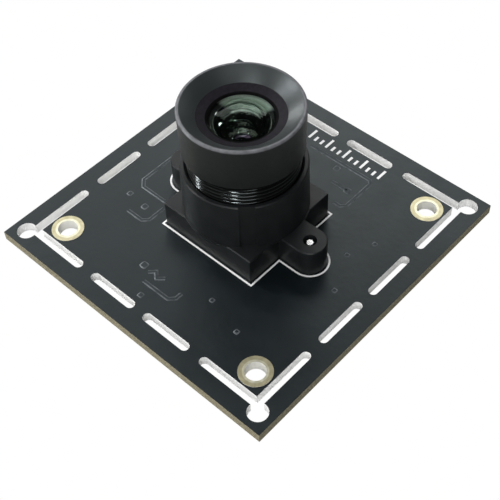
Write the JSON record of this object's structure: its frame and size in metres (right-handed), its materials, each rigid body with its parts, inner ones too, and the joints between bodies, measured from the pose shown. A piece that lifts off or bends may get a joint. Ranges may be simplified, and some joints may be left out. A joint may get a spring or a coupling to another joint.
{
  "type": "camera module",
  "caption": "Small square circuit board with a moulded lens holder, a screw-in lens that focuses by turning, and an image sensor beneath it.",
  "frame": {"origin": "centre of the square of four bolt holes, on the board's back face", "axes": "+Z along the lens axis, from the board towards the lens front; X and Y along the board's edges, with the holder's screw ears on the X axis"},
  "size_m": [0.038, 0.038, 0.0217],
  "materials": {
    "board": "satin solder mask over glass laminate",
    "pad": "pale gold plating, satin",
    "print": "white ink",
    "holder": "black moulded plastic, fine texture",
    "screw": "plain steel",
    "barrel": "black anodised, satin",
    "ring": "dark anodised, satin",
    "seal": "matt black",
    "glass": "coated, clear",
    "filter": "pale blue-green tint",
    "sensor": "dark ceramic",
    "die": "polished silicon",
    "chip": "black moulding",
    "metal": "tinned metal",
    "ferrite": "dark grey",
    "ceramic": "tan ceramic",
    "resistor": "black glaze",
    "connector": "off-white moulding"
  },
  "bodies": {
    "module": {"circuit_board": "board", "plated_ring_left": "pad", "plated_ring_front": "pad", "plated_ring_right": "pad", "plated_ring_rear": "pad", "holder_outline_print": "print", "edge_marks_print": "print", "lens_holder": "holder", "holder_screws": "screw", "filter_glass": "filter", "sensor_package": "sensor", "sensor_die": "die", "sensor_cover_glass": "glass", "image_processor": "chip", "power_inductor": "ferrite", "clock_crystal": "metal", "memory_chip": "chip", "voltage_regulator": "chip", "memory_leads": "metal", "regulator_leads": "metal", "connector_housing": "connector", "connector_contacts": "metal", "chip_resistors": "resistor", "chip_capacitors": "ceramic", "chip_end_caps": "metal"},
    "lens_stack": {"front_element": "glass", "front_spacer": "barrel", "second_element": "glass", "aperture_stop": "barrel", "third_element": "glass", "rear_spacer": "barrel", "rear_element": "glass"},
    "lens_barrel_body": {"lens_barrel": "barrel", "retaining_ring": "ring", "dust_seal": "seal"}
  },
  "joints": [
    {"name": "focus_travel", "type": "slide", "parent": "module", "child": "lens_stack", "axis": [0, 0, 1], "range_m": [-0.0005, 0.0005]},
    {"name": "focus_turn", "type": "hinge", "parent": "lens_stack", "child": "lens_barrel_body", "pos_m": [0, 0, 0.012], "axis": [0, 0, 1], "range_deg": [-360, 360]}
  ],
  "couplings": [
    {"joint": "focus_travel", "follows": "focus_turn", "m_per_rad": 0.00007957}
  ]
}
